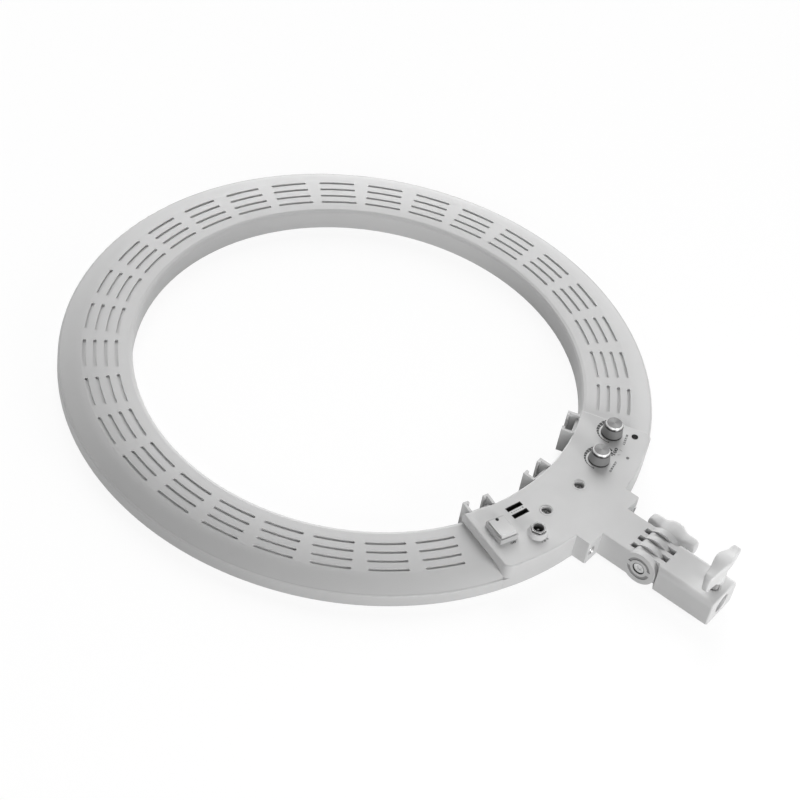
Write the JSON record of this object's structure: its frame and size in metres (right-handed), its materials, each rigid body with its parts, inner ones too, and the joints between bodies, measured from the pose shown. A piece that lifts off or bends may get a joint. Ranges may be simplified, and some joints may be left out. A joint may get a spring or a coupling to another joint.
{
  "type": "led ring light",
  "caption": "Round LED video light lying face down, with a control pod, knobs, rocker switch, sockets and a tilting light-stand clamp",
  "frame": {"origin": "bottom centre of the whole light's box at rest, on the plane that its front face lies on; the ring's own axis is 55.25 mm towards +Y", "axes": "+Z from the front face to the back, -Y from the ring along the arm and out of the spigot socket, +X to the side of the tilt wing knob"},
  "size_m": [0.48, 0.5904, 0.059],
  "materials": {
    "housing": "satin light grey moulded plastic",
    "knob_plastic": "satin light grey moulded plastic, eased edges",
    "diffuser": "translucent milky plastic, fine matt",
    "white_board": "white solder mask",
    "green_board": "green solder mask",
    "warm_chip": "yellow phosphor in a white case",
    "cool_chip": "pale phosphor in a white case",
    "zinc_steel": "zinc-plated steel",
    "bright_steel": "bright plated steel",
    "dark_steel": "dark oxide threaded steel",
    "black_plastic": "black moulded plastic",
    "dark_plastic": "dark grey satin plastic",
    "rocker_plastic": "light grey satin plastic",
    "indicator": "smoky lens, unlit",
    "aluminium": "turned aluminium with a bright bevel",
    "pot_metal": "nickel-plated steel",
    "brass": "turned brass",
    "nylon": "black nylon"
  },
  "bodies": {
    "ring": {"rear_cover": "housing", "front_bezel": "housing", "control_housing": "housing", "accessory_shoe_left": "housing", "accessory_shoe_centre": "housing", "accessory_shoe_right": "housing", "diffuser": "diffuser", "led_board": "white_board", "power_board": "green_board", "dimmer_board": "green_board", "warm_leds": "warm_chip", "cool_leds": "cool_chip", "board_screws": "zinc_steel", "housing_screws": "zinc_steel", "control_board_screws": "zinc_steel", "tilt_bolt": "bright_steel", "dc_jack_nut": "bright_steel", "thread_insert_left": "bright_steel", "thread_insert_right": "bright_steel", "usb_socket_inner": "black_plastic", "usb_socket_outer": "black_plastic", "dc_jack": "black_plastic", "ir_window": "black_plastic", "board_headers": "black_plastic", "rocker_bezel": "dark_plastic", "status_led": "indicator", "dimmer_pot": "pot_metal", "colour_pot": "pot_metal"},
    "rocker": {"rocker_paddle": "rocker_plastic"},
    "dimmer": {"dimmer_shaft": "pot_metal", "dimmer_knob": "dark_plastic", "dimmer_cap": "aluminium"},
    "colour": {"colour_shaft": "pot_metal", "colour_knob": "dark_plastic", "colour_cap": "aluminium"},
    "clamp": {"clamp_body": "housing", "clamp_insert": "brass"},
    "pad": {"pressure_pad": "nylon"},
    "thumb": {"thumb_screw": "dark_steel", "thumb_knob": "knob_plastic"},
    "washer": {"tilt_washer": "zinc_steel"},
    "wing": {"tilt_knob": "knob_plastic", "tilt_knob_insert": "brass"}
  },
  "joints": [
    {"name": "tilt", "type": "hinge", "parent": "ring", "child": "clamp", "pos_m": [0, -0.23095, 0.0153], "axis": [1, 0, 0], "range_deg": [-90, 90]},
    {"name": "rocker_switch", "type": "hinge", "parent": "ring", "child": "rocker", "pos_m": [-0.07172, -0.13967, 0.0284], "axis": [0.9385, -0.3453, 0], "range_deg": [0, 9.4]},
    {"name": "dimmer_turn", "type": "hinge", "parent": "ring", "child": "dimmer", "pos_m": [0.07436, -0.1405, 0.03], "axis": [0, 0, 1], "range_deg": [-150, 150]},
    {"name": "colour_turn", "type": "hinge", "parent": "ring", "child": "colour", "pos_m": [0.04318, -0.14965, 0.03], "axis": [0, 0, 1], "range_deg": [-150, 150]},
    {"name": "screw_travel", "type": "slide", "parent": "clamp", "child": "pad", "axis": [0, 0, 1], "range_m": [-0.0065, 0]},
    {"name": "screw_turn", "type": "hinge", "parent": "pad", "child": "thumb", "pos_m": [0, -0.28475, 0.04], "axis": [0, 0, 1], "range_deg": [-1872, 0]},
    {"name": "washer_travel", "type": "slide", "parent": "ring", "child": "washer", "axis": [1, 0, 0], "range_m": [0, 0.001]},
    {"name": "wing_turn", "type": "hinge", "parent": "washer", "child": "wing", "pos_m": [0.025, -0.23095, 0.0153], "axis": [1, 0, 0], "range_deg": [0, 360]}
  ],
  "couplings": [
    {"joint": "screw_turn", "follows": "screw_travel", "rad_per_m": 5026.5},
    {"joint": "wing_turn", "follows": "washer_travel", "rad_per_m": 6283.2}
  ]
}
